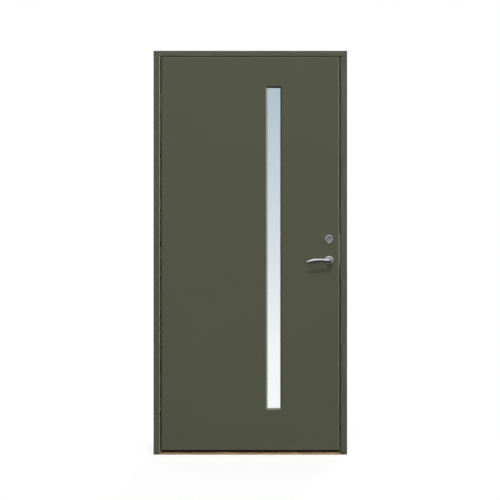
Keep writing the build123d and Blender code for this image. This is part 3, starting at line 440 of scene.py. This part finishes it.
# Studio
# A pale floor that fades to white away from the door. Grey walls and a dark ground, which only
# reflections show, give the metal its contrast.
FLOOR = (0.75, 0.75, 0.75)
GROUND = (0.05, 0.05, 0.05)
FLOOR_SIZE = 40
FLOOR_DULL = 0.9
WHITE_NEAR = 0.3
WHITE_START = 0.5
WHITE_END = 1.6
WALLS = (0.30, 0.30, 0.31)
WALL_LEVELS = {"grey walls": 1.0, "dark ground": 0.12, "pale wall": 3.2, "dim wall": 0.35}
GREY, DARK, PALE, DIM = range(len(WALL_LEVELS))
ROOM_WIDTH = 18
ROOM_HEIGHT = 6
ROOM_MIDDLE = 2.98
FACING = 0.5
AMBIENT = 0.24


def worked_out(tree, operation, first, second):
    step = tree.nodes.new("ShaderNodeMath")
    step.operation = operation
    tree.links.new(first, step.inputs[0])
    tree.links.new(second, step.inputs[1])
    return step.outputs["Value"]


def ray_is(tree, *kinds):
    path = tree.nodes.new("ShaderNodeLightPath")
    found = path.outputs[kinds[0]]
    for kind in kinds[1:]:
        found = worked_out(tree, "MAXIMUM", found, path.outputs[kind])
    return found


def pale_floor(name):
    finish, tree, shader = new_finish(name, FLOOR_DULL)
    shader.inputs["Specular IOR Level"].default_value = 0.0
    hue = two_tone(tree, ray_is(tree, "Is Camera Ray"), GROUND, FLOOR)
    place = tree.nodes.new("ShaderNodeTexCoord")
    reach = tree.nodes.new("ShaderNodeVectorMath")
    reach.operation = "LENGTH"
    tree.links.new(hue, shader.inputs["Base Color"])
    tree.links.new(place.outputs["Object"], reach.inputs[0])
    far = fade(tree, reach.outputs["Value"], WHITE_NEAR, 1, WHITE_START, WHITE_END)
    seen = worked_out(tree, "MULTIPLY", far, ray_is(tree, "Is Camera Ray"))
    share = worked_out(tree, "MAXIMUM", seen, ray_is(tree, "Is Transmission Ray"))
    white = tree.nodes.new("ShaderNodeEmission")
    blend = tree.nodes.new("ShaderNodeMixShader")
    tree.links.new(share, blend.inputs["Fac"])
    tree.links.new(shader.outputs["BSDF"], blend.inputs[1])
    tree.links.new(white.outputs["Emission"], blend.inputs[2])
    tree.links.new(blend.outputs["Shader"], tree.nodes["Material Output"].inputs["Surface"])
    return finish


def glowing(name, colour):
    finish, tree, shader = new_finish(name, 1.0)
    shader.inputs["Base Color"].default_value = (0, 0, 0, 1)
    shader.inputs["Specular IOR Level"].default_value = 0.0
    shader.inputs["Emission Color"].default_value = (*colour, 1)
    shader.inputs["Emission Strength"].default_value = 1.0
    return finish


def wall_for(turned):
    if turned.z < -FACING:
        return DARK
    if turned.x < -FACING:
        return PALE
    if turned.x > FACING:
        return DIM
    return GREY


bpy.ops.object.select_all(action="DESELECT")
bpy.ops.mesh.primitive_plane_add(size=FLOOR_SIZE)
floor = bpy.context.object
floor.name = "floor"
floor.data.materials.append(pale_floor("floor"))
floor.visible_glossy = False
floor.visible_shadow = False

room_size = (ROOM_WIDTH, ROOM_WIDTH, ROOM_HEIGHT)
bpy.ops.mesh.primitive_cube_add(size=1, location=(0, 0, ROOM_MIDDLE), scale=room_size)
room = bpy.context.object
room.name = "grey walls"
bpy.ops.object.transform_apply(location=True, rotation=True, scale=True)
for name, level in WALL_LEVELS.items():
    room.data.materials.append(glowing(name, shade(WALLS, level)))
for side in room.data.polygons:
    side.material_index = wall_for(side.normal)
bpy.ops.object.mode_set(mode="EDIT")
bpy.ops.mesh.select_all(action="SELECT")
bpy.ops.mesh.flip_normals()
bpy.ops.mesh.select_all(action="DESELECT")
bpy.ops.object.mode_set(mode="OBJECT")
for side in room.data.polygons:
    side.select = side.normal.z < -FACING
bpy.ops.object.mode_set(mode="EDIT")
bpy.ops.mesh.delete(type="FACE")
bpy.ops.object.mode_set(mode="OBJECT")
room.visible_camera = False
room.visible_diffuse = False
room.visible_transmission = False
room.visible_shadow = False

world = bpy.data.worlds.new("studio")
bpy.context.scene.world = world
world.use_nodes = True
tree = world.node_tree
sky = tree.nodes["Background"]
level = fade(tree, ray_is(tree, "Is Camera Ray", "Is Glossy Ray", "Is Transmission Ray"), AMBIENT, 1, 0, 1)
tree.links.new(level, sky.inputs["Strength"])
sky.inputs["Color"].default_value = (1, 1, 1, 1)

# Lamps
# A soft key from above on each side of the door, a front lamp and two lamps behind its ends. Raking lamps
# at the right and overhead pick out the edges of the outer face. Only the keys fall on the polished metal.
KEY = 1.27
KEY_SPREAD = 10
OUTSIDE_KEY_AIM = (45, 0, -10)
INSIDE_KEY_AIM = (-45, 0, -10)
FRONT = 1.5
FRONT_AIM = (70, 0, 0)
BEHIND_RIGHT = 2.1
BEHIND_RIGHT_AIM = (80, 0, 120)
BEHIND_LEFT = 1.6
BEHIND_LEFT_AIM = (80, 0, -120)
SOFT_SPREAD = 30
RAKE_RIGHT = 4.0
RAKE_RIGHT_AIM = (80, 0, 75)
RAKE_RIGHT_SPREAD = 18
RAKE_TOP = 1.3
RAKE_TOP_AIM = (17, 0, 0)
RAKE_TOP_SPREAD = 22
raked = bpy.data.collections.new("raked pieces")
plain = bpy.data.collections.new("plain pieces")
unpolished = bpy.data.collections.new("unpolished pieces")
for piece in (hinge_side, outer_face, nodes["latch_guard"]):
    raked.objects.link(piece)
    unpolished.objects.link(piece)
for piece in (lock_side, *nodes.values()):
    if piece.name not in (*CHROMED, *ROSES, *PLATED, "latch_guard"):
        plain.objects.link(piece)
        unpolished.objects.link(piece)
for group in (raked, plain):
    group.objects.link(floor)


def lamp(name, aim, power, spread, lights=None, stopped_by=None, shines=False):
    data = bpy.data.lights.new(name, "SUN")
    data.energy = power
    data.angle = math.radians(spread)
    made = bpy.data.objects.new(name, data)
    bpy.context.scene.collection.objects.link(made)
    made.rotation_euler = [math.radians(turn) for turn in aim]
    made.visible_camera = False
    made.visible_glossy = shines
    made.visible_transmission = False
    made.light_linking.receiver_collection = lights
    made.light_linking.blocker_collection = stopped_by


lamp("outside key", OUTSIDE_KEY_AIM, KEY, KEY_SPREAD)
lamp("inside key", INSIDE_KEY_AIM, KEY, KEY_SPREAD)
lamp("front", FRONT_AIM, FRONT, SOFT_SPREAD, plain, unpolished)
lamp("behind right", BEHIND_RIGHT_AIM, BEHIND_RIGHT, SOFT_SPREAD, unpolished, unpolished)
lamp("behind left", BEHIND_LEFT_AIM, BEHIND_LEFT, SOFT_SPREAD, unpolished, unpolished)
lamp("right rake", RAKE_RIGHT_AIM, RAKE_RIGHT, RAKE_RIGHT_SPREAD, raked, unpolished, True)
lamp("top rake", RAKE_TOP_AIM, RAKE_TOP, RAKE_TOP_SPREAD, raked, raked, True)

# Camera
# Square on to the outside, level with the middle of the picture.
VIEW_WIDTH = 2.5559
VIEW_X = -0.0016
VIEW_Z = 1.0464
LENS = 85
SENSOR = 36
LEVEL = 90
camera = bpy.data.objects.new("camera", bpy.data.cameras.new("camera"))
bpy.context.scene.collection.objects.link(camera)
camera.data.lens = LENS
camera.data.sensor_width = SENSOR
camera.location = (VIEW_X, skin_low[1] - VIEW_WIDTH * LENS / SENSOR, VIEW_Z)
camera.rotation_euler = (math.radians(LEVEL), 0, 0)
bpy.context.scene.camera = camera
bpy.context.scene.view_settings.view_transform = "Standard"
